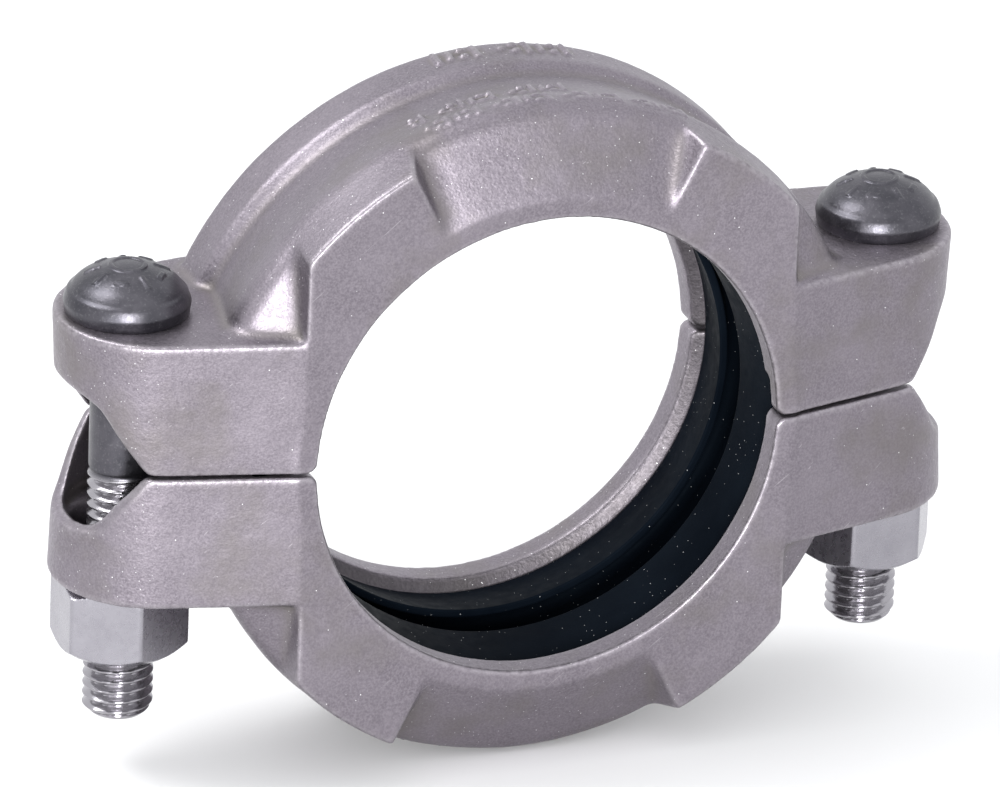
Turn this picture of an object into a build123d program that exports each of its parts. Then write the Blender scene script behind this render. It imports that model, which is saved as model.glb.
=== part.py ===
"""Two-bolt pipe coupling for grooved pipe: two cast housing halves, a rubber gasket ring inside them,
two oval-neck bolts with domed heads and two heavy hex nuts.

Frame: the pipe's axis is Y, with the housing's flat-plated front facing -Y. Z is up, along the bolts, and
the heads are on top. X runs across, through both bolts. The origin is the centre of the bore.
Every size is in millimetres.
"""
import os
from math import cos, pi, radians, sin

from build123d import *

# Housing ring, a body of revolution about Y
BORE_R = 43.7            # inner face of the two keys, which sit in the pipes' grooves
HALF_WIDTH = 23.8        # centre plane to either outer face
SPLIT_GAP = 0.6          # between the two halves, as clamped on the gasket
LIP_R = 47.6             # outer edge of the narrow flat face beside the bore
CROWN_R = 62.8           # front land, the largest radius of the ring
CROWN_Y = 16.8           # where the flanks reach the lands
FRONT_LAND_Y = -12.2     # rear edge of the front land
VALLEY_R = 60.1          # shallow valley between the two lands
VALLEY_FROM_Y = -1.5
VALLEY_TO_Y = 4.2
REAR_LAND_Y = 6.6        # top of the step up to the rear land
REAR_LAND_R = 62.0

# Channel inside the ring, which holds the gasket
KEY_EDGE_Y = 18.4        # inner edge of a key's bore face
KEY_ROOT_Y = 17.0        # side wall of the channel
KEY_ROOT_R = 46.4
CHANNEL_R = 56.4
CHANNEL_FILLET = 3.0

# Flat plates on the front face, cut by a recess at the crown
PLATE_HALF_X = 46.5
PLATE_R = 61.7           # at the front; the rim widens to the ring's crown behind it
RECESS_FROM = 63.1       # degrees about Y, from +X towards +Z
RECESS_TO = 116.1
RECESS_DRAFT = 20.0      # slope of the recess's two side walls

# Relief behind the key of each half at its right-hand end, seen from the front
RELIEF_HEIGHT = 7.0
RELIEF_DEPTH = 1.9
PARTING_CHAMFER = 1.1    # corners between the bore and the parting plane

# Bolt pads at both ends
BOLT_X = 71.8
SEAT_Z = 25.3            # flat that the head or the nut bears on
NOSE_X = 65.9            # centre of the pad's rounded end, at the seat
NOSE_R = 18.8
NOSE_DRAFT = 1.2         # how far the end draws in towards the parting plane
PAD_REAR_X = 54.0        # where the pad's rear flank leaves the ring
PAD_REAR_Y = 20.5
PAD_TOP_PLATE = 11.3     # thickness under the head
PAD_WALL = 2.4           # thickness round the hollow
POCKET_INNER_X = 64.0
NECK_HOLE_R = 6.9        # oval hole for the bolt's neck
NECK_HOLE_LENGTH = 19.0

# Gasket
GASKET_CLEARANCE = 0.4
GASKET_SIDE_R = 45.9     # inner corner of the gasket's flat sides
GASKET_LIP_R = 44.1      # sealing edge of either lip
GASKET_LIP_Y = 4.6       # lip tip to the centre plane
GASKET_TIP = 1.5         # thickness of a lip's tip
GASKET_CAVITY_R = 51.4   # floor of the cavity between the lips
GASKET_CAVITY_Y = 11.6
GASKET_LIP_RISE = 2.2    # how much further out a lip's root is than its tip

# Bolts, 1/2 inch with 13 threads to the inch
THREAD_R = 6.35
THREAD_PITCH = 1.954
THREAD_DEPTH = 1.06
SHANK_R = 6.2
THREAD_TOP_Z = -4.9
BOLT_LENGTH = 77.5       # under the head
HEAD_R = 11.4
HEAD_RIM = 2.2
HEAD_HEIGHT = 9.3
HEAD_TAPER = 0.3         # how much narrower the head is at the seat than above the rim
HEAD_SHOULDER = (8.2, 6.9)   # (radius, height) where the side meets the flatter crown
NECK_LENGTH = 8.5
NECK_WIDTH = 13.0
NECK_SPAN = 17.6
BOLT_TIP_CHAMFER = 1.4

# Heavy hex nuts
NUT_FLATS = 22.2
NUT_HEIGHT = 14.1
NUT_BORE_R = 6.45
NUT_CHAMFER_DEG = 28.0
NUT_FACE_R = 10.77       # flat ring at either face, inside the chamfer
NUT_LEAD = 0.9           # chamfer at either end of the thread
NUT_TURN = {"left": -92.3, "right": -0.6}    # degrees about Z from +X to a corner

BIG = 200.0


def revolve_profile(points, corner_radii):
    """Full solid of revolution about Y from an outline of (y, radius) points with rounded corners."""
    outline = FilletPolyline(*points, radius=corner_radii, close=True)
    return revolve(Plane.YZ * make_face(outline), Axis.Y)


def upper_space():
    """Everything above the parting plane's gap."""
    return Pos(0, 0, SPLIT_GAP / 2) * Box(BIG, BIG, BIG, align=(Align.CENTER, Align.CENTER, Align.MIN))


def ring_solid():
    """Outside of the cast ring: sloped flanks, two lands and the valley between them."""
    points = [
        (-HALF_WIDTH, 0), (-HALF_WIDTH, LIP_R), (-CROWN_Y, CROWN_R - 0.2), (FRONT_LAND_Y, CROWN_R - 0.1),
        (VALLEY_FROM_Y, VALLEY_R + 0.5), (VALLEY_TO_Y, VALLEY_R), (REAR_LAND_Y, REAR_LAND_R - 0.1),
        (CROWN_Y - 1.2, REAR_LAND_R), (HALF_WIDTH, LIP_R), (HALF_WIDTH, 0),
    ]
    corner_radii = [0, 0, 4.0, 6.0, 12.0, 1.6, 1.0, 2.0, 0.8, 0]
    return revolve_profile(points, corner_radii)


def plate_solid():
    """Flat front plates: a disc whose rim runs flush into the ring, cut straight on either side."""
    points = [(-HALF_WIDTH, 0), (-HALF_WIDTH, PLATE_R), (FRONT_LAND_Y, CROWN_R - 0.05), (FRONT_LAND_Y, 0)]
    disc = revolve(Plane.YZ * make_face(Polyline(*points, close=True)), Axis.Y)
    return disc & Box(2 * PLATE_HALF_X, BIG, BIG)


def recess_cut():
    """Wedge that opens the plates at the crown, narrower towards its floor."""
    reach = 1.4 * PLATE_R
    corners = [(0, 0)]
    for angle in (RECESS_FROM, RECESS_TO):
        corners.append((reach * cos(radians(angle)), reach * sin(radians(angle))))
    front = Plane((0, -HALF_WIDTH, 0), x_dir=(1, 0, 0), z_dir=(0, -1, 0))
    wedge = front * make_face(Polyline(*corners, close=True))
    depth = HALF_WIDTH - CROWN_Y / 2
    return extrude(wedge, -depth, taper=RECESS_DRAFT)


def nose_tangent(centre_x):
    """Point where the pad's front wall, from the plate's corner, meets the rounded end."""
    centre = Vector(centre_x, 0)
    to_corner = Vector(PLATE_HALF_X, -HALF_WIDTH) - centre
    cosine = NOSE_R / to_corner.length
    sine = (1 - cosine ** 2) ** 0.5
    along = to_corner.normalized() * NOSE_R
    return centre + along * cosine + Vector(-along.Y, along.X) * sine


def pad_plan(draw_in=0.0):
    """Outline of the right-hand pad seen from above, with its end drawn in by draw_in."""
    centre_x = NOSE_X - draw_in
    tangent = nose_tangent(centre_x)
    corner = (PLATE_HALF_X, -HALF_WIDTH)
    lines = [
        Line(corner, (tangent.X, tangent.Y)),
        ThreePointArc((tangent.X, tangent.Y), (centre_x + NOSE_R, 0), (centre_x, NOSE_R)),
        Line((centre_x, NOSE_R), (PAD_REAR_X, PAD_REAR_Y)),
        Polyline((PAD_REAR_X, PAD_REAR_Y), (BORE_R, PAD_REAR_Y), (BORE_R, -HALF_WIDTH), corner),
    ]
    return make_face(lines)


def pad_solid():
    """One bolt pad on the right, before its pocket and window."""
    return loft([pad_plan(NOSE_DRAFT), Pos(0, 0, SEAT_Z) * pad_plan()], ruled=True)


def window_cut():
    """Opening under the pad's end wall, an S-curved edge swept across the width."""
    edge = [(72.6, 0.2), (74.2, 1.9), (76.6, 5.4), (78.7, 9.2), (80.4, 11.8), (82.0, 12.9), (84.2, 13.9)]
    start, end = edge[0], edge[-1]
    outside = BOLT_X + 20
    lines = [
        Spline(*edge, tangents=[(1, 0.5), (1, 0.4)]),
        Polyline(end, (outside, end[1] + 10), (outside, -1), (start[0], -1), start),
    ]
    return extrude(Plane.XZ * make_face(lines), BIG / 2, both=True)


def pocket_cut():
    """Hollow under the pad's top plate, open to the parting plane."""
    depth = SEAT_Z - PAD_TOP_PLATE
    hollow = extrude(offset(pad_plan(NOSE_DRAFT / 2), -PAD_WALL), depth)
    outboard = Box(BIG, BIG, BIG, align=(Align.MIN, Align.CENTER, Align.CENTER))
    return hollow & Pos(POCKET_INNER_X, 0, 0) * outboard


def neck_hole():
    """Oval hole through the top plate, longer along X."""
    oval = SlotOverall(NECK_HOLE_LENGTH, 2 * NECK_HOLE_R)
    return extrude(Pos(BOLT_X, 0, 0) * oval, SEAT_Z + 1)


def channel_cut():
    """Bore through both keys and the gasket's channel between them."""
    points = [
        (-HALF_WIDTH - 1, 0), (-HALF_WIDTH - 1, BORE_R), (-KEY_EDGE_Y, BORE_R), (-KEY_ROOT_Y, KEY_ROOT_R),
        (-KEY_ROOT_Y, CHANNEL_R), (KEY_ROOT_Y, CHANNEL_R), (KEY_ROOT_Y, KEY_ROOT_R), (KEY_EDGE_Y, BORE_R),
        (HALF_WIDTH + 1, BORE_R), (HALF_WIDTH + 1, 0),
    ]
    corner_radii = [0, 0, 0.5, 0.8, CHANNEL_FILLET, CHANNEL_FILLET, 0.8, 0.5, 0, 0]
    return revolve_profile(points, corner_radii)


def upper_housing():
    """Upper casting, as one solid."""
    right_pad = pad_solid()
    body = ring_solid() + (plate_solid() - recess_cut()) + right_pad + mirror(right_pad, Plane.YZ)
    end_cuts = window_cut() + pocket_cut() + neck_hole()
    body = body - end_cuts - mirror(end_cuts, Plane.YZ) - channel_cut() - relief_cut()
    corner = parting_corner_cut()
    body = body - corner - mirror(corner, Plane.YZ)
    return body & upper_space()


def relief_cut():
    """Shallow pocket behind the front key, just above the parting plane."""
    inside_corner = (Align.MIN, Align.MAX, Align.CENTER)
    block = Box(CHANNEL_R - BORE_R, RELIEF_DEPTH + 2, 2 * RELIEF_HEIGHT, align=inside_corner)
    block = fillet(block.edges().filter_by(Axis.Y), 2.0)
    return Pos(BORE_R - 2, -KEY_EDGE_Y + 2, 0) * block


def parting_corner_cut():
    """Square bar, set on its corner, that breaks the edge between the bore and the parting plane."""
    inward = PARTING_CHAMFER / 2
    side = (PARTING_CHAMFER + inward) * 2 ** 0.5
    return Pos(BORE_R - inward, 0, SPLIT_GAP / 2) * Rot(0, 45, 0) * Box(side, BIG, side)


def gasket():
    """C-shaped rubber ring with two lips that lean in towards the bore."""
    outer_r = CHANNEL_R - GASKET_CLEARANCE
    side_y = KEY_ROOT_Y - GASKET_CLEARANCE
    tip_r = GASKET_LIP_R + GASKET_TIP
    root_r = tip_r + GASKET_LIP_RISE
    points = [
        (-side_y, outer_r), (-side_y, GASKET_SIDE_R), (-GASKET_LIP_Y, GASKET_LIP_R), (-GASKET_LIP_Y, tip_r),
        (-GASKET_CAVITY_Y, root_r), (-GASKET_CAVITY_Y, GASKET_CAVITY_R), (GASKET_CAVITY_Y, GASKET_CAVITY_R),
        (GASKET_CAVITY_Y, root_r), (GASKET_LIP_Y, tip_r), (GASKET_LIP_Y, GASKET_LIP_R),
        (side_y, GASKET_SIDE_R), (side_y, outer_r),
    ]
    corner_radii = [3.2, 0.6, 0.5, 0.5, 1.2, 2.0, 2.0, 1.2, 0.5, 0.5, 0.6, 3.2]
    return revolve_profile(points, corner_radii)


def head_profile():
    """Half outline of the domed head, from the seat up, in (radius, height)."""
    shoulder_r, shoulder_z = HEAD_SHOULDER
    rise = HEAD_HEIGHT - shoulder_z
    crown_r = (shoulder_r ** 2 + rise ** 2) / (2 * rise)
    outward = (crown_r - rise, -shoulder_r)
    return [
        Line((0, 0), (HEAD_R - HEAD_TAPER, 0)),
        Line((HEAD_R - HEAD_TAPER, 0), (HEAD_R, HEAD_RIM)),
        TangentArc(HEAD_SHOULDER, (HEAD_R, HEAD_RIM), tangent=outward),
        TangentArc(HEAD_SHOULDER, (0, HEAD_HEIGHT), tangent=(-outward[0], -outward[1])),
        Line((0, HEAD_HEIGHT), (0, 0)),
    ]


def thread_outline():
    """Half outline of shank and thread in (radius, height), down to the chamfered tip."""
    tip_z = SEAT_Z - BOLT_LENGTH
    root_r = THREAD_R - THREAD_DEPTH
    points = [(0, SEAT_Z), (SHANK_R, SEAT_Z), (SHANK_R, THREAD_TOP_Z)]
    turns = int((THREAD_TOP_Z - tip_z - BOLT_TIP_CHAMFER) / THREAD_PITCH)
    for turn in range(turns):
        top = THREAD_TOP_Z - turn * THREAD_PITCH
        points += [(root_r, top - 0.45 * THREAD_PITCH), (root_r, top - 0.55 * THREAD_PITCH)]
        points += [(THREAD_R, top - 0.94 * THREAD_PITCH), (THREAD_R, top - 1.06 * THREAD_PITCH)]
    points += [(THREAD_R, tip_z + BOLT_TIP_CHAMFER), (THREAD_R - BOLT_TIP_CHAMFER, tip_z), (0, tip_z)]
    return points


def bolt(side):
    """Oval-neck bolt with its domed head up; side is -1 on the left and 1 on the right."""
    head = revolve(Plane.XZ * make_face(head_profile()), Axis.Z)
    shank = revolve(Plane.XZ * make_face(Polyline(*thread_outline(), close=True)), Axis.Z)
    neck = extrude(Pos(0, 0, SEAT_Z - NECK_LENGTH) * SlotOverall(NECK_SPAN, NECK_WIDTH), NECK_LENGTH)
    return Pos(side * BOLT_X, 0, 0) * (Pos(0, 0, SEAT_Z) * head + neck + shank)


def nut(side, turn):
    """Heavy hex nut under the lower pad, with one corner at the angle turn about Z."""
    corner_r = NUT_FLATS / 2 / cos(pi / 6)
    outer_r = corner_r + 0.3
    drop = (outer_r - NUT_FACE_R) * sin(radians(NUT_CHAMFER_DEG))
    top = -SEAT_Z
    bottom = top - NUT_HEIGHT
    hexagon = Rot(0, 0, turn) * RegularPolygon(corner_r, 6)
    body = extrude(Pos(0, 0, bottom) * hexagon, NUT_HEIGHT)
    envelope = [
        (0, bottom), (NUT_FACE_R, bottom), (outer_r, bottom + drop),
        (outer_r, top - drop), (NUT_FACE_R, top), (0, top),
    ]
    body = body & revolve(Plane.XZ * make_face(Polyline(*envelope, close=True)), Axis.Z)
    mouth_r = NUT_BORE_R + NUT_LEAD + 1
    hole = [
        (0, bottom - 1), (mouth_r, bottom - 1), (NUT_BORE_R, bottom + NUT_LEAD),
        (NUT_BORE_R, top - NUT_LEAD), (mouth_r, top + 1), (0, top + 1),
    ]
    body = body - revolve(Plane.XZ * make_face(Polyline(*hole, close=True)), Axis.Z)
    return Pos(side * BOLT_X, 0, 0) * body


def main():
    os.makedirs("parts", exist_ok=True)
    upper = upper_housing()
    nodes = {"upper_housing": upper, "lower_housing": Rot(0, 180, 0) * upper, "gasket": gasket()}
    for side, label in ((-1, "left"), (1, "right")):
        nodes[f"{label}_bolt"] = bolt(side)
        nodes[f"{label}_nut"] = nut(side, NUT_TURN[label])
    for name, shape in nodes.items():
        shape.label = name
        export_step(shape, f"parts/{name}.step")


main()
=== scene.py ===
"""Looks of the two-bolt pipe coupling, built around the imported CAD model.

Lengths are in metres. The row frame is the CAD's: Y along the pipe, Z along the bolts, X across them,
with the origin at the centre of the bore.
"""
import math

import bpy
import numpy as np
from mathutils import Matrix, Vector, noise


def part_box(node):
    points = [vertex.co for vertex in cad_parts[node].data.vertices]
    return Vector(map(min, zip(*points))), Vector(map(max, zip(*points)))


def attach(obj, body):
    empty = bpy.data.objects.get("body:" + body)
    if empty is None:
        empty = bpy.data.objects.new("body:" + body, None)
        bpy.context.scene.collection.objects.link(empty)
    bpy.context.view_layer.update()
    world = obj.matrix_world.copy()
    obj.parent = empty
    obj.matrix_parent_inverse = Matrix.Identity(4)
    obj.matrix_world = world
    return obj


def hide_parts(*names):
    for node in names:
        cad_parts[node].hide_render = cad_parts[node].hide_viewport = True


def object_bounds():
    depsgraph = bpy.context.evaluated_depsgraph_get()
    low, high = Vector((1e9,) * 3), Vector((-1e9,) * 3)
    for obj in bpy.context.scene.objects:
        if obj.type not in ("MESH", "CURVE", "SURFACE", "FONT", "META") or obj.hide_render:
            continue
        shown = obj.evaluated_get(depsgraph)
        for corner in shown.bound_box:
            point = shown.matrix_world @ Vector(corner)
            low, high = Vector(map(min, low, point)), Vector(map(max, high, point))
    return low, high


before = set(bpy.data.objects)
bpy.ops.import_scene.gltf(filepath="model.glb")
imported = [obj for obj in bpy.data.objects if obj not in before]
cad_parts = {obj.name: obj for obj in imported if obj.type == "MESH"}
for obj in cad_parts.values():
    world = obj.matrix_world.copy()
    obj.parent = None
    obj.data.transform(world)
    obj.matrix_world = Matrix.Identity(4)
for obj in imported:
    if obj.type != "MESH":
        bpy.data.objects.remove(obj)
CAD_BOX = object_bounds()
MM = 0.001

# Camera
AZIMUTH = -21.78         # degrees; 0 looks along +Y
ELEVATION = 23.58
ROLL = 2.14
DISTANCE = 2.394
TARGET = (-0.00026, 0, 0.00029)
LENS_MM = 480.7
SENSOR_MM = 36.0

# Floor
FLOOR_GAP = 0.5 * MM     # below the CAD box, so that the lowest cast marks clear it
FLOOR_REACH = 8.0

# Places taken from the frame
LEFT_X = (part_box("left_bolt")[0][0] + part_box("left_bolt")[1][0]) / 2
RIGHT_X = -LEFT_X
SEAT_Z = -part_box("left_nut")[1][2]
NUT_BOTTOM_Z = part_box("left_nut")[0][2]
TIP_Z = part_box("left_bolt")[0][2]
HEAD_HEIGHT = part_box("left_bolt")[1][2] - SEAT_Z

# Bolts and nuts, as in the CAD model
THREAD_R = 6.35 * MM
THREAD_PITCH = 1.954 * MM
THREAD_DEPTH = 1.06 * MM
THREAD_TOP_Z = -4.9 * MM
THREAD_SLOPE = 1.22      # flank height over thread depth before roots and crests are cut flat
SHANK_R = 6.2 * MM
NECK_LENGTH = 8.5 * MM
NECK_WIDTH = 13.0 * MM
NECK_SPAN = 17.6 * MM
NECK_TAPER = 1.2 * MM
TIP_CHAMFER = 1.4 * MM
HEAD_R = 11.4 * MM
HEAD_RIM = 2.2 * MM
HEAD_SHOULDER = np.array((8.2, 6.9)) * MM
HEAD_TAPER = 0.3 * MM
NUT_FLATS = 22.2 * MM
NUT_FACE_R = 10.2 * MM
NUT_CHAMFER_DEG = 36
NUT_LEAD = 0.9 * MM      # depth of the chamfer at the mouth of the hole
NUT_MOUTH = 0.2 * MM     # hole outside the thread where that chamfer ends
NUT_BLUNT = 0.18 * MM    # taken off each corner
NUT_THREAD_SHARE = 0.78  # of the thread's depth that the nut fills
NUT_TURN = {"left": -92.3, "right": -0.6}    # degrees about Z from +X to a corner
HEAD_MARK_PROUD = 0.28 * MM
HEAD_MARK_SOFT = 0.16 * MM
HEAD_RING_R = 3.1 * MM
HEAD_BARS_R = 6.4 * MM
HEAD_BARS = 9
THREAD_GAP = 0.13 * MM   # between the bolt's thread and the nut's

# Gasket section, as in the CAD model: outline points (y, radius) and the round at each
GASKET_HALF = [
    (16.6, 56.0, 3.2),
    (16.6, 45.9, 0.6),
    (4.6, 44.1, 0.35),
    (4.6, 45.6, 0.5),
    (11.6, 47.8, 1.2),
    (11.6, 51.4, 2.0),
]

# Raised cast marks on the two lands of a housing: (y, land radius, first angle, last angle, height);
# angles in degrees from +X towards +Z
MARK_ROWS = [
    (-12.6, 62.45, 64.0, 112.0, 3.4),
    (-7.0, 61.7, 84.0, 111.0, 3.4),
    (12.2, 61.9, 76.5, 101.5, 4.4),
]
MARK_STROKE = 0.85 * MM
MARK_PROUD = 0.66 * MM
MARK_ROOT = 1.6 * MM     # how far a bar reaches into the land
MARK_DASH = 1.3 * MM
MARK_PITCH = 0.56        # of the row's height
MARK_KINDS = 7           # the last of them is a gap

# Mesh density
VOXEL = 0.36 * MM
SMOOTH_PASSES = 12
MARK_SMOOTH_PASSES = 4
EDGE_SMOOTH_PASSES = 4
EDGE_SPREAD_PASSES = 5
EDGE_GAIN = 1.6
FILL_PASSES = 60
FILL_SHARE = 0.07        # of a full fill, for each of the two areas that are filled only a little
BOLT_COLUMNS = 128
NUT_COLUMNS = 360
RING_COLUMNS = 360
ROWS_PER_PITCH = 14


# ---------------------------------------------------------------- stage

def add_camera():
    """Camera at the viewing angle, slightly rolled."""
    azimuth = math.radians(AZIMUTH)
    elevation = math.radians(ELEVATION)
    back = Vector((
        math.sin(azimuth) * math.cos(elevation),
        -math.cos(azimuth) * math.cos(elevation),
        math.sin(elevation),
    ))
    data = bpy.data.cameras.new("camera")
    data.lens = LENS_MM
    data.sensor_width = SENSOR_MM
    camera = bpy.data.objects.new("camera", data)
    bpy.context.scene.collection.objects.link(camera)
    look = (-back).to_track_quat("-Z", "Y").to_matrix().to_4x4()
    roll = Matrix.Rotation(math.radians(ROLL), 4, "Z")
    camera.matrix_world = Matrix.Translation(Vector(TARGET) + back * DISTANCE) @ look @ roll
    bpy.context.scene.camera = camera


def add_softbox(name, direction, distance, size, power, colour=(1, 1, 1)):
    """Rectangular light at a distance along a direction from the object, facing it."""
    data = bpy.data.lights.new(name, "AREA")
    data.shape = "RECTANGLE"
    data.size, data.size_y = size
    data.energy = power
    data.color = colour
    light = bpy.data.objects.new(name, data)
    outward = Vector(direction).normalized()
    turn = (-outward).to_track_quat("-Z", "Y").to_matrix().to_4x4()
    light.matrix_world = Matrix.Translation(outward * distance) @ turn
    bpy.context.scene.collection.objects.link(light)


def add_floor():
    """Pale floor just under the lowest cast marks, which stand a little below the CAD box."""
    floor_z = CAD_BOX[0][2] - FLOOR_GAP
    mesh = bpy.data.meshes.new("floor")
    signs = ((-1, -1), (1, -1), (1, 1), (-1, 1))
    corners = [(x_sign * FLOOR_REACH, y_sign * FLOOR_REACH, floor_z) for x_sign, y_sign in signs]
    mesh.from_pydata(corners, [], [(0, 1, 2, 3)])
    floor = bpy.data.objects.new("floor", mesh)
    bpy.context.scene.collection.objects.link(floor)
    material = bpy.data.materials.new("floor")
    material.use_nodes = True
    shader = material.node_tree.nodes["Principled BSDF"]
    shader.inputs["Base Color"].default_value = (0.7, 0.7, 0.7, 1)
    shader.inputs["Roughness"].default_value = 0.9
    shader.inputs["Specular IOR Level"].default_value = 0.1
    mesh.materials.append(material)


def add_lights():
    """Soft studio light: a large box in front, weak ones above and at the left, a bright even surround."""
    world = bpy.data.worlds.new("world")
    world.use_nodes = True
    background = world.node_tree.nodes["Background"]
    background.inputs["Color"].default_value = (0.97, 0.98, 1.0, 1)
    background.inputs["Strength"].default_value = 1.35
    bpy.context.scene.world = world
    add_softbox("key", (-0.32, -0.92, 0.22), 3.0, (0.95, 0.95), 92)
    add_softbox("overhead", (-0.55, 0.2, 0.82), 0.8, (0.4, 0.4), 4.0)
    add_softbox("left", (-0.8, -0.75, 0.1), 0.45, (0.2, 0.2), 0.5)
    view = bpy.context.scene.view_settings
    view.view_transform = "Standard"
    view.look = "None"


# ---------------------------------------------------------------- mesh helpers

def link_piece(name, mesh, body, slot, *nodes):
    """Object for a finished mesh, riding on a body and standing for CAD nodes."""
    piece = bpy.data.objects.new(name, mesh)
    bpy.context.scene.collection.objects.link(piece)
    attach(piece, body)
    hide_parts(*nodes)


def grid_mesh(name, rows, close_ends, join_ends=False):
    """Mesh from rows of points round an axis, an array (rows, columns, 3).

    The two ends are capped, joined to each other or left open.
    """
    count, columns = rows.shape[:2]
    points = rows.reshape(-1, 3).tolist()
    here = np.arange(count * columns).reshape(count, columns)
    ahead = np.roll(here, -1, axis=1)
    if join_ends:
        lower, upper = here, np.roll(here, -1, axis=0)
        lower_next, upper_next = ahead, np.roll(ahead, -1, axis=0)
    else:
        lower, upper = here[:-1], here[1:]
        lower_next, upper_next = ahead[:-1], ahead[1:]
    faces = np.stack([lower, lower_next, upper_next, upper], axis=-1).reshape(-1, 4).tolist()
    if close_ends:
        for row, flip in ((0, True), (count - 1, False)):
            centre = len(points)
            points.append(rows[row].mean(axis=0).tolist())
            for a, b in zip(here[row].tolist(), ahead[row].tolist()):
                faces.append((b, a, centre) if flip else (a, b, centre))
    mesh = bpy.data.meshes.new(name)
    mesh.from_pydata(points, [], faces)
    mesh.shade_smooth()
    return mesh


def ring(radius, theta, z):
    """One row of points round Z at height z; radius is one number or one for each angle."""
    radius = np.broadcast_to(radius, theta.shape)
    return np.stack([radius * np.cos(theta), radius * np.sin(theta), np.full_like(theta, z)], axis=-1)


def smoothstep(low, high, value):
    """0 below low, 1 above high, and a smooth rise between."""
    t = np.clip((value - low) / (high - low), 0, 1)
    return t * t * (3 - 2 * t)


def rounded_outline(corners, arc_steps=6):
    """Closed outline through (u, v, radius) corners, each rounded to its radius."""
    points = []
    count = len(corners)
    for index, (u, v, radius) in enumerate(corners):
        corner = np.array((u, v))
        before = np.array(corners[index - 1][:2]) - corner
        after = np.array(corners[(index + 1) % count][:2]) - corner
        before = before / np.linalg.norm(before)
        after = after / np.linalg.norm(after)
        half = math.acos(np.clip(before @ after, -1, 1)) / 2
        trim = radius / math.tan(half)
        start, end = corner + before * trim, corner + after * trim
        centre = corner + (before + after) / np.linalg.norm(before + after) * radius / math.sin(half)
        for t in np.linspace(0, 1, arc_steps):
            mid = start * (1 - t) + end * t - centre
            points.append(centre + mid / np.linalg.norm(mid) * radius)
    return np.array(points)


# ---------------------------------------------------------------- bolts and nuts

def thread_radius(theta, z):
    """Outside of the right-handed thread at angle theta and height z."""
    phase = (z / THREAD_PITCH - theta / (2 * math.pi)) % 1.0
    flank = 1 - np.abs(2 * phase - 1)
    height = np.clip(flank * THREAD_SLOPE - 0.06, 0, 1)
    return THREAD_R - THREAD_DEPTH * (1 - height)


def oval_radius(theta):
    """Outline of the bolt's oval neck, longer along X."""
    half = (NECK_SPAN - NECK_WIDTH) / 2
    cap = NECK_WIDTH / 2
    sine = np.maximum(np.abs(np.sin(theta)), 1e-6)
    flat = cap / sine
    round_end = half * np.abs(np.cos(theta)) + np.sqrt(np.maximum(cap ** 2 - (half * np.sin(theta)) ** 2, 0))
    return np.where(flat * np.abs(np.cos(theta)) <= half, flat, round_end)


def head_outline():
    """Head from the seat to its top, as (radius, height) points with the outward normal at each."""
    rise = HEAD_HEIGHT - HEAD_SHOULDER[1]
    crown_r = (HEAD_SHOULDER[0] ** 2 + rise ** 2) / (2 * rise)
    crown_centre = np.array((0, HEAD_HEIGHT - crown_r))
    normal = (HEAD_SHOULDER - crown_centre) / crown_r
    step = np.array((HEAD_R, HEAD_RIM)) - HEAD_SHOULDER
    shoulder_r = -(step @ step) / (2 * step @ normal)
    shoulder_centre = HEAD_SHOULDER - normal * shoulder_r
    rim_angle = math.atan2(HEAD_RIM - shoulder_centre[1], HEAD_R - shoulder_centre[0])
    shoulder_angle = math.atan2(normal[1], normal[0])
    under = HEAD_R - HEAD_TAPER
    points = [(under - 0.35 * MM, 0), (under - 0.1 * MM, 0.07 * MM), (under, 0.32 * MM)]
    normals = [(0, -1), (0.7, -0.7), (1, 0)]
    for t in np.linspace(0.3, 1, 6)[:-1]:
        points.append((under + HEAD_TAPER * t, HEAD_RIM * t))
        normals.append((1, 0))
    for angle in np.linspace(rim_angle, shoulder_angle, 26)[:-1]:
        direction = np.array((math.cos(angle), math.sin(angle)))
        points.append(shoulder_centre + direction * shoulder_r)
        normals.append(direction)
    for angle in np.linspace(shoulder_angle, math.pi / 2, 52)[:-1]:
        direction = np.array((math.cos(angle), math.sin(angle)))
        points.append(crown_centre + direction * crown_r)
        normals.append(direction)
    return np.array(points), np.array(normals)


def head_marks(x, y):
    """Height, 0 to 1, of the raised marks on a head: a plain ring inside nine bars of two shapes."""
    radius = np.hypot(x, y)
    circle = smoothstep(-HEAD_MARK_SOFT, HEAD_MARK_SOFT, 0.42 * MM - np.abs(radius - HEAD_RING_R))
    sector = 2 * math.pi / HEAD_BARS
    turn = np.arctan2(y, x) + sector / 2
    angle = turn % sector - sector / 2
    long_bar = (turn // sector) % 2 == 0
    across = np.abs(radius * np.sin(angle))
    along = np.abs(radius * np.cos(angle) - HEAD_BARS_R)
    half_length = np.where(long_bar, 1.5, 0.5) * MM
    half_width = np.where(long_bar, 0.45, 1.3) * MM
    inside = np.minimum(half_width - across, half_length - along)
    return np.maximum(circle, smoothstep(-HEAD_MARK_SOFT, HEAD_MARK_SOFT, inside))


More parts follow.
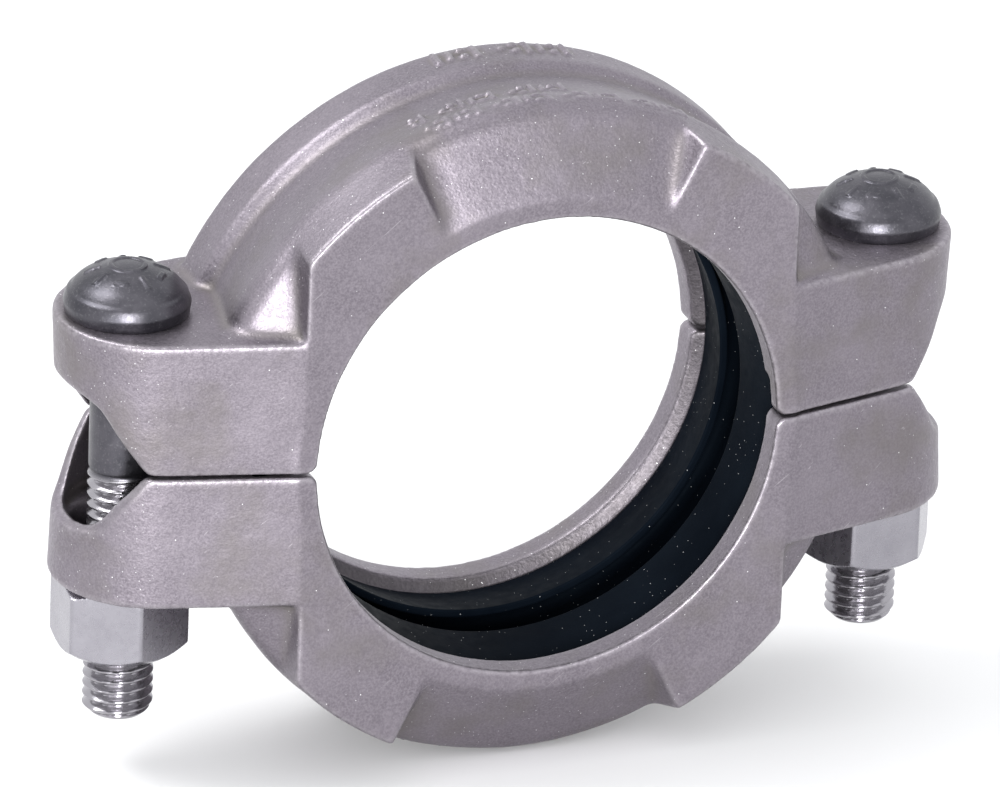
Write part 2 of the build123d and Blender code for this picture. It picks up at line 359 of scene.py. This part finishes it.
def bolt_mesh(name):
    """Bolt about the Z axis at x = 0: chamfered tip, helical thread, shank, oval neck and domed head."""
    theta = np.linspace(0, 2 * math.pi, BOLT_COLUMNS, endpoint=False)
    rows = [ring((THREAD_R - TIP_CHAMFER) * share, theta, TIP_Z) for share in (0.35, 0.75)]
    top = THREAD_TOP_Z + THREAD_PITCH
    count = int((top - TIP_Z) / THREAD_PITCH * ROWS_PER_PITCH)
    for z in np.linspace(TIP_Z, top, count):
        chamfer = THREAD_R - TIP_CHAMFER + (z - TIP_Z)
        runout = smoothstep(THREAD_TOP_Z - THREAD_PITCH, THREAD_TOP_Z + 0.6 * THREAD_PITCH, z)
        radius = thread_radius(theta, z) * (1 - runout) + SHANK_R * runout
        rows.append(ring(np.minimum(radius, chamfer), theta, z))
    neck_z = SEAT_Z - NECK_LENGTH
    oval = oval_radius(theta)
    for z in np.linspace(top, neck_z - NECK_TAPER, 5)[1:]:
        rows.append(ring(SHANK_R, theta, z))
    for t in np.linspace(0, 1, 5)[1:]:
        rows.append(ring(SHANK_R * (1 - t) + oval * t, theta, neck_z - NECK_TAPER * (1 - t)))
    rows.append(ring(oval, theta, SEAT_Z))
    outline, normals = head_outline()
    for (radius, height), (out, up) in zip(outline, normals):
        marks = head_marks(radius * np.cos(theta), radius * np.sin(theta))
        proud = (marks - 1) * HEAD_MARK_PROUD * smoothstep(4 * MM, 5 * MM, height)
        rows.append(ring(radius + proud * out, theta, SEAT_Z + height + proud * up))
    return grid_mesh(name, np.array(rows), close_ends=True)


def hexagon_radius(theta, corner):
    """Outline of the nut, one corner at the angle given."""
    fold = (theta - corner) % (math.pi / 3) - math.pi / 6
    flat = NUT_FLATS / 2 / np.cos(fold)
    blunt = NUT_FLATS / 2 / math.cos(math.pi / 6) - NUT_BLUNT
    return np.minimum(flat, blunt)


def nut_mesh(name, corner):
    """Heavy hex nut about the Z axis at x = 0, chamfered at both faces, with an internal thread."""
    theta = np.linspace(0, 2 * math.pi, NUT_COLUMNS, endpoint=False) + corner
    outline = hexagon_radius(theta, corner)
    top_z = -SEAT_Z
    corner_r = NUT_FLATS / 2 / math.cos(math.pi / 6)
    slope = math.tan(math.radians(NUT_CHAMFER_DEG))
    chamfer = (corner_r - NUT_FACE_R) * slope
    depths = np.concatenate([np.linspace(0, chamfer, 12), [chamfer * 1.3, chamfer * 2]])
    levels = [top_z - depth for depth in depths] + [NUT_BOTTOM_Z + depth for depth in depths[::-1]]
    face_rings = [NUT_FACE_R * share for share in (0.72, 0.86, 0.97)]
    rows = [ring(radius, theta, top_z) for radius in face_rings]
    for z in levels:
        inward = min(top_z - z, z - NUT_BOTTOM_Z)
        rows.append(ring(np.minimum(outline, NUT_FACE_R + inward / slope), theta, z))
    rows += [ring(radius, theta, NUT_BOTTOM_Z) for radius in face_rings[::-1]]
    minor_r = THREAD_R - NUT_THREAD_SHARE * THREAD_DEPTH
    count = int((top_z - NUT_BOTTOM_Z) / THREAD_PITCH * ROWS_PER_PITCH)
    for z in np.linspace(NUT_BOTTOM_Z, top_z, count):
        inward = min(top_z - z, z - NUT_BOTTOM_Z)
        lead = THREAD_R + NUT_MOUTH + (NUT_LEAD - inward)
        radius = np.maximum(thread_radius(theta, z) + THREAD_GAP, minor_r)
        rows.append(ring(np.maximum(radius, lead), theta, z))
    return grid_mesh(name, np.array(rows)[:, ::-1], close_ends=False, join_ends=True)


def add_fasteners():
    """Both bolts and both nuts."""
    for side, x in (("left", LEFT_X), ("right", RIGHT_X)):
        bolt = bolt_mesh(f"{side}_bolt_detail")
        bolt.transform(Matrix.Translation((x, 0, 0)))
        bolt.set_sharp_from_angle(angle=math.radians(38))
        bolt.materials.append(MATERIALS["bolt"])
        link_piece(f"{side}_bolt_detail", bolt, f"{side}_bolt", "bolt", f"{side}_bolt")
        nut = nut_mesh(f"{side}_nut_detail", math.radians(NUT_TURN[side]))
        nut.transform(Matrix.Translation((x, 0, 0)))
        nut.set_sharp_from_angle(angle=math.radians(25))
        nut.materials.append(MATERIALS["nut"])
        link_piece(f"{side}_nut_detail", nut, f"{side}_nut", "nut", f"{side}_nut")


# ---------------------------------------------------------------- gasket

def add_gasket():
    """Rubber ring: the rounded C section swept round the pipe's axis."""
    right = [(y * MM, r * MM, round_r * MM) for y, r, round_r in GASKET_HALF]
    left = [(-y, r, round_r) for y, r, round_r in right[::-1]]
    outline = rounded_outline(right + left)
    theta = np.linspace(0, 2 * math.pi, RING_COLUMNS, endpoint=False)
    rows = [
        np.stack([r * np.cos(theta), np.full_like(theta, y), r * np.sin(theta)], axis=-1)
        for y, r in outline
    ]
    mesh = grid_mesh("gasket_detail", np.array(rows), close_ends=False, join_ends=True)
    mesh.set_sharp_from_angle(angle=math.radians(35))
    mesh.materials.append(MATERIALS["gasket"])
    link_piece("gasket_detail", mesh, "lower", "gasket", "gasket")


# ---------------------------------------------------------------- housings

def mark_block(angle, y, radius, length, height):
    """Eight corners of a bar on a land: length round the ring, height along Y, standing slightly proud."""
    half_angle = length / radius / 2
    corners = []
    for level in (radius - MARK_ROOT, radius + MARK_PROUD):
        for turn, across in ((-1, -1), (1, -1), (1, 1), (-1, 1)):
            a = angle + turn * half_angle
            corners.append((level * math.cos(a), y + across * height / 2, level * math.sin(a)))
    return corners


def mark_bars(kind, height):
    """Bars of one abstract mark, as (offset along Y, size along Y, size round the ring)."""
    if kind in (0, 3):
        return [(0, height, MARK_STROKE)]
    if kind == 2:
        return [(0, height * 0.7, MARK_STROKE)]
    if kind in (1, 4):
        return [(offset * height, MARK_STROKE, MARK_DASH) for offset in (-0.3, 0.3)]
    if kind == 5:
        return [(0, MARK_STROKE, MARK_DASH)]
    return []


def cast_marks():
    """Rows of plain bars and dashes, in place of cast lettering, as one mesh of blocks."""
    points, faces = [], []
    quads = [(3, 2, 1, 0), (4, 5, 6, 7), (0, 1, 5, 4), (1, 2, 6, 5), (2, 3, 7, 6), (3, 0, 4, 7)]
    for y, radius, first, last, height in MARK_ROWS:
        pitch = MARK_PITCH * height / radius
        for step, angle in enumerate(np.arange(math.radians(first), math.radians(last), pitch)):
            for offset, tall, length in mark_bars(step % MARK_KINDS, height * MM):
                base = len(points)
                points += mark_block(angle, y * MM + offset, radius * MM, length, tall)
                faces += [tuple(base + corner for corner in quad) for quad in quads]
    mesh = bpy.data.meshes.new("cast_marks")
    mesh.from_pydata(points, [], faces)
    return mesh


def neighbour_mean(edges, values):
    """Mean of values (vertices, 3) over each vertex's edge neighbours; edges is a pair of index arrays."""
    a, b = edges
    size = len(values)
    count = np.bincount(a, minlength=size) + np.bincount(b, minlength=size)
    columns = [
        np.bincount(a, values[b, axis], size) + np.bincount(b, values[a, axis], size)
        for axis in range(values.shape[1])
    ]
    return np.stack(columns, axis=1) / count[:, None]


def edge_arrays(mesh):
    """First and second vertex index of every edge."""
    edges = np.empty(len(mesh.edges) * 2, dtype=np.int32)
    mesh.edges.foreach_get("vertices", edges)
    return edges.reshape(-1, 2).T


def vertex_arrays(mesh):
    """Vertex points and normals as two arrays."""
    points = np.empty(len(mesh.vertices) * 3)
    normals = np.empty(len(mesh.vertices) * 3)
    mesh.vertices.foreach_get("co", points)
    mesh.vertices.foreach_get("normal", normals)
    return points.reshape(-1, 3), normals.reshape(-1, 3)


def add_edge_attribute(mesh):
    """Vertex value 'edge': 0.5 on flat skin, above it on convex edges and below it in hollows."""
    points, normals = vertex_arrays(mesh)
    edges = edge_arrays(mesh)
    smooth = points
    for _ in range(EDGE_SMOOTH_PASSES):
        smooth = neighbour_mean(edges, smooth)
    bulge = np.einsum("ij,ij->i", points - smooth, normals)[:, None] / VOXEL
    for _ in range(EDGE_SPREAD_PASSES):
        bulge = neighbour_mean(edges, bulge)
    values = np.clip(0.5 + bulge[:, 0] * EDGE_GAIN, 0, 1)
    attribute = mesh.attributes.new("edge", "FLOAT", "POINT")
    attribute.data.foreach_set("value", values.astype(np.float32))


def fill_hollows(mesh):
    """Rounds inside corners: each pass lifts the vertices that lie below their neighbours."""
    edges = edge_arrays(mesh)
    points, normals = vertex_arrays(mesh)
    x, y, z = points.T
    beyond_bore = smoothstep(57 * MM, 59 * MM, np.hypot(x, z))
    above_pads = smoothstep(24 * MM, 25 * MM, z)
    inside_pads = smoothstep(-64 * MM, -62 * MM, -np.abs(x))
    front = smoothstep(13 * MM, 15 * MM, -y) * above_pads
    share = np.clip(beyond_bore * (inside_pads + above_pads) * FILL_SHARE + front, 0, 1)
    for fill_pass in range(FILL_PASSES):
        rise = np.einsum("ij,ij->i", neighbour_mean(edges, points) - points, normals)
        points = points + normals * (np.maximum(rise, 0) * share)[:, None]
        if fill_pass % 12 == 11:
            mesh.vertices.foreach_set("co", points.ravel())
            mesh.update()
            normals = vertex_arrays(mesh)[1]
    mesh.vertices.foreach_set("co", points.ravel())
    mesh.update()


def add_waviness(mesh):
    """Slight unevenness of an as-cast skin."""
    points, normals = vertex_arrays(mesh)
    broad = np.array([noise.noise(Vector(point) * 90) for point in points])
    fine = np.array([noise.noise(Vector(point) * 330) for point in points])
    swell = broad * 0.09 + fine * 0.03
    points += normals * swell[:, None] * MM
    mesh.vertices.foreach_set("co", points.ravel())
    mesh.update()


def remeshed(source, name, passes):
    """The object's mesh after a voxel remesh and some smoothing. The object is removed."""
    remesh = source.modifiers.new("remesh", "REMESH")
    remesh.mode = "VOXEL"
    remesh.voxel_size = VOXEL
    relax = source.modifiers.new("relax", "SMOOTH")
    relax.factor = 0.5
    relax.iterations = passes
    depsgraph = bpy.context.evaluated_depsgraph_get()
    mesh = bpy.data.meshes.new_from_object(source.evaluated_get(depsgraph))
    mesh.name = name
    bpy.data.objects.remove(source)
    return mesh


def linked(name, mesh):
    """Object for a mesh, in the scene."""
    thing = bpy.data.objects.new(name, mesh)
    bpy.context.scene.collection.objects.link(thing)
    return thing


def housing_mesh(name):
    """The upper casting with rounded inside corners, softened edges, raised marks and an uneven skin."""
    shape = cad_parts["upper_housing"].data.copy()
    shape.materials.clear()
    filled = remeshed(linked("shape", shape), "filled", SMOOTH_PASSES)
    fill_hollows(filled)
    source = linked("filled", filled)
    marks = linked("marks", cast_marks())
    both = [source, marks]
    with bpy.context.temp_override(
        active_object=source,
        object=source,
        selected_editable_objects=both,
        selected_objects=both,
    ):
        bpy.ops.object.join()
    mesh = remeshed(source, name, MARK_SMOOTH_PASSES)
    add_edge_attribute(mesh)
    add_waviness(mesh)
    mesh.shade_smooth()
    mesh.materials.append(MATERIALS["housing"])
    return mesh


def add_housings():
    """Both castings. The lower one is the upper one turned half a turn about Y."""
    upper = housing_mesh("upper_housing_cast")
    lower = upper.copy()
    lower.name = "lower_housing_cast"
    lower.transform(Matrix.Rotation(math.pi, 4, "Y"))
    link_piece("upper_housing_cast", upper, "upper", "housing", "upper_housing")
    link_piece("lower_housing_cast", lower, "lower", "housing", "lower_housing")


# ---------------------------------------------------------------- materials

class Surface:
    """A principled material and short ways to add the nodes that feed it."""

    def __init__(self, name, metallic, roughness):
        self.material = bpy.data.materials.new(name)
        self.material.use_nodes = True
        self.tree = self.material.node_tree
        self.shader = self.tree.nodes["Principled BSDF"]
        self.shader.inputs["Metallic"].default_value = metallic
        self.shader.inputs["Roughness"].default_value = roughness
        coordinates = self.tree.nodes.new("ShaderNodeTexCoord")
        self.place = coordinates.outputs["Object"]
        self.facing = coordinates.outputs["Normal"]

    def join(self, source, target):
        self.tree.links.new(source, target)

    def noise(self, size, detail=3.0, roughness=0.55, stretch=None, turn=0.0):
        """Noise from 0 to 1 with features about size metres across, lengthened along axes turned about Y."""
        node = self.tree.nodes.new("ShaderNodeTexNoise")
        node.inputs["Scale"].default_value = 1 / size
        node.inputs["Detail"].default_value = detail
        node.inputs["Roughness"].default_value = roughness
        source = self.place
        if stretch:
            mapping = self.tree.nodes.new("ShaderNodeMapping")
            mapping.vector_type = "TEXTURE"
            mapping.inputs["Scale"].default_value = stretch
            mapping.inputs["Rotation"].default_value = (0, turn, 0)
            self.join(self.place, mapping.inputs["Vector"])
            source = mapping.outputs["Vector"]
        self.join(source, node.inputs["Vector"])
        return node.outputs["Fac"]

    def specks(self, spacing, radius):
        """Small round dots, 1 inside and 0 outside."""
        node = self.tree.nodes.new("ShaderNodeTexVoronoi")
        node.inputs["Scale"].default_value = 1 / spacing
        node.inputs["Randomness"].default_value = 1.0
        self.join(self.place, node.inputs["Vector"])
        return self.scaled(node.outputs["Distance"], radius / spacing, radius / spacing * 0.55, 0, 1)

    def scaled(self, source, low, high, to_low, to_high):
        """source from low..high mapped to to_low..to_high, clamped."""
        node = self.tree.nodes.new("ShaderNodeMapRange")
        for key, value in (("From Min", low), ("From Max", high), ("To Min", to_low), ("To Max", to_high)):
            node.inputs[key].default_value = value
        self.join(source, node.inputs["Value"])
        return node.outputs["Result"]

    def math(self, operation, a, b):
        node = self.tree.nodes.new("ShaderNodeMath")
        node.operation = operation
        for socket, value in zip(node.inputs, (a, b)):
            if isinstance(value, (int, float)):
                socket.default_value = value
            else:
                self.join(value, socket)
        return node.outputs["Value"]

    def mix(self, share, a, b):
        """Colour a where share is 0 and b where it is 1; each is a socket or an (r, g, b)."""
        node = self.tree.nodes.new("ShaderNodeMix")
        node.data_type = "RGBA"
        for socket, value in ((node.inputs[6], a), (node.inputs[7], b)):
            if isinstance(value, tuple):
                socket.default_value = (*value, 1)
            else:
                self.join(value, socket)
        self.join(share, node.inputs["Factor"])
        return node.outputs[2]

    def part(self, source, axis):
        """One axis of a vector socket."""
        node = self.tree.nodes.new("ShaderNodeSeparateXYZ")
        self.join(source, node.inputs["Vector"])
        return node.outputs[axis]

    def radius(self):
        """Distance from the pipe's axis."""
        sides = self.part(self.place, "X"), self.part(self.place, "Z")
        squares = [self.math("MULTIPLY", side, side) for side in sides]
        return self.math("SQRT", self.math("ADD", *squares), 0)

    def attribute(self, name):
        node = self.tree.nodes.new("ShaderNodeAttribute")
        node.attribute_name = name
        return node.outputs["Fac"]

    def bump(self, height, distance, strength=1.0, below=None):
        node = self.tree.nodes.new("ShaderNodeBump")
        node.inputs["Distance"].default_value = distance
        node.inputs["Strength"].default_value = strength
        self.join(height, node.inputs["Height"])
        if below:
            self.join(below, node.inputs["Normal"])
        return node.outputs["Normal"]

    def finish(self, colour, roughness, normal):
        self.join(colour, self.shader.inputs["Base Color"])
        self.join(roughness, self.shader.inputs["Roughness"])
        self.join(normal, self.shader.inputs["Normal"])
        return self.material


def housing_material():
    """Blasted cast stainless: pinkish grey, fine grain, painted sparkle glints, bright edges that are partly
    wear and partly painted highlight, painted brownish shade in the hollows and on the keys' roots.
    """
    s = Surface("cast_stainless", metallic=0.95, roughness=0.42)
    edge = s.attribute("edge")
    mottle = s.scaled(s.noise(0.012, detail=4), 0.3, 0.7, 0, 1)
    grain = s.noise(0.00042, detail=2.0, roughness=0.6)
    stain = s.scaled(s.noise(0.016, detail=4), 0.5, 0.68, 0, 0.6)
    colour = s.mix(mottle, (0.150, 0.133, 0.155), (0.196, 0.176, 0.202))
    colour = s.mix(s.scaled(grain, 0.35, 0.65, 0, 0.8), colour, (0.245, 0.221, 0.248))
    colour = s.mix(stain, colour, (0.165, 0.150, 0.148))
    # Painted shade: hollows (concave skin) are pulled towards a darker brownish grey.
    hollow = s.scaled(edge, 0.47, 0.30, 0, 0.85)
    colour = s.mix(hollow, colour, (0.165, 0.15, 0.147))
    patches = s.scaled(s.noise(0.0012), 0.35, 0.6, 0.2, 1)
    # Convex edges lighter: partly wear, partly a painted highlight along edges that catch the light.
    wear_and_edge_highlight = s.math("MULTIPLY", s.scaled(edge, 0.60, 0.80, 0, 0.4), patches)
    colour = s.mix(wear_and_edge_highlight, colour, (0.42, 0.395, 0.42))
    streaks = s.scaled(s.noise(0.0005, detail=1, stretch=(1.0, 1.0, 30.0), turn=0.9), 0.75, 0.79, 0, 0.45)
    colour = s.mix(streaks, colour, (0.42, 0.395, 0.42))
    # Painted shade: near-black band on the sloping roots of the keys beside the bore, where they reflect the
    # dark gasket.
    from_centre = s.math("ABSOLUTE", s.part(s.place, "Y"), 0)
    inner = s.scaled(from_centre, 0.0165, 0.0169, 0, 1)
    outer = s.scaled(from_centre, 0.0180, 0.0184, 1, 0)
    near_bore = s.scaled(s.radius(), 0.0458, 0.0466, 0.65, 0)
    key_root_shade = s.math("MULTIPLY", s.math("MULTIPLY", inner, outer), near_bore)
    colour = s.mix(key_root_shade, colour, (0.045, 0.042, 0.042))
    # Painted glints: white sparkle dots over the whole casting.
    colour = s.mix(s.specks(0.0026, 0.00012), colour, (1.0, 1.0, 1.0))
    # Painted glints: denser white sparkle dots only on faces that point to the front; blasted here is that
    # front-facing mask, which also strengthens the orange-peel bump.
    blasted = s.scaled(s.part(s.facing, "Y"), -0.985, -0.90, 0.25, 1)
    front_glints = s.math("MULTIPLY", s.specks(0.0012, 0.00010), s.scaled(blasted, 0.5, 1, 0, 0.8))
    colour = s.mix(front_glints, colour, (0.95, 0.95, 0.95))
    roughness = s.scaled(s.noise(0.0009, detail=3), 0.3, 0.7, 0.39, 0.51)
    roughness = s.math("SUBTRACT", roughness, s.math("MULTIPLY", wear_and_edge_highlight, 0.12))
    peel = s.math("MULTIPLY", s.noise(0.0008, detail=2), blasted)
    normal = s.bump(s.noise(0.004, detail=3), 0.00012, 0.5)
    normal = s.bump(peel, 0.0001, 0.7, normal)
    normal = s.bump(grain, 0.00004, 0.8, normal)
    return s.finish(colour, roughness, normal)


def bolt_material():
    """Darker satin stainless, lightly blasted, with a few dull patches and fine nicks."""
    s = Surface("satin_bolt", metallic=0.95, roughness=0.45)
    cloud = s.scaled(s.noise(0.006, detail=4), 0.35, 0.7, 0, 1)
    grain = s.noise(0.00045, detail=3)
    colour = s.mix(cloud, (0.055, 0.054, 0.063), (0.095, 0.091, 0.104))
    colour = s.mix(s.scaled(grain, 0.55, 0.75, 0, 0.5), colour, (0.17, 0.167, 0.178))
    threaded = s.scaled(s.part(s.place, "Z"), THREAD_TOP_Z - 0.001, THREAD_TOP_Z, 1, 0)
    colour = s.mix(threaded, colour, (0.30, 0.29, 0.31))
    roughness = s.scaled(s.noise(0.0015, detail=3), 0.3, 0.7, 0.29, 0.41)
    roughness = s.math("SUBTRACT", roughness, s.math("MULTIPLY", threaded, 0.16))
    normal = s.bump(s.math("MULTIPLY", grain, s.math("SUBTRACT", 1.0, threaded)), 0.00004, 0.8)
    return s.finish(colour, roughness, normal)


def nut_material():
    """Machined stainless: lighter, smoother, with faint tool lines round the axis."""
    s = Surface("machined_nut", metallic=1.0, roughness=0.25)
    cloud = s.scaled(s.noise(0.005, detail=3), 0.35, 0.7, 0, 1)
    lines = s.noise(0.0006, detail=2, stretch=(6.5, 6.5, 1.0))
    colour = s.mix(cloud, (0.29, 0.28, 0.31), (0.33, 0.32, 0.35))
    roughness = s.scaled(s.noise(0.0012, detail=3), 0.3, 0.7, 0.25, 0.31)
    normal = s.bump(lines, 0.00001, 0.6)
    return s.finish(colour, roughness, normal)


def gasket_material():
    """Moulded black rubber with a blue-grey bloom, fine skin and pale dust specks."""
    s = Surface("gasket_rubber", metallic=0.0, roughness=0.5)
    bloom = s.scaled(s.noise(0.018, detail=4), 0.35, 0.75, 0, 1)
    colour = s.mix(bloom, (0.0022, 0.0036, 0.0062), (0.0045, 0.007, 0.011))
    dust = s.specks(0.0013, 0.0001)
    colour = s.mix(dust, colour, (0.4, 0.41, 0.41))
    roughness = s.scaled(s.noise(0.002, detail=3), 0.3, 0.7, 0.36, 0.52)
    normal = s.bump(s.noise(0.0006, detail=2), 0.00003, 0.5)
    s.shader.inputs["IOR"].default_value = 1.06
    s.shader.inputs["Specular Tint"].default_value = (0.55, 0.75, 1.0, 1)
    return s.finish(colour, roughness, normal)


MATERIALS = {
    "housing": housing_material(),
    "bolt": bolt_material(),
    "nut": nut_material(),
    "gasket": gasket_material(),
}

add_camera()
add_floor()
add_lights()
add_fasteners()
add_gasket()
add_housings()
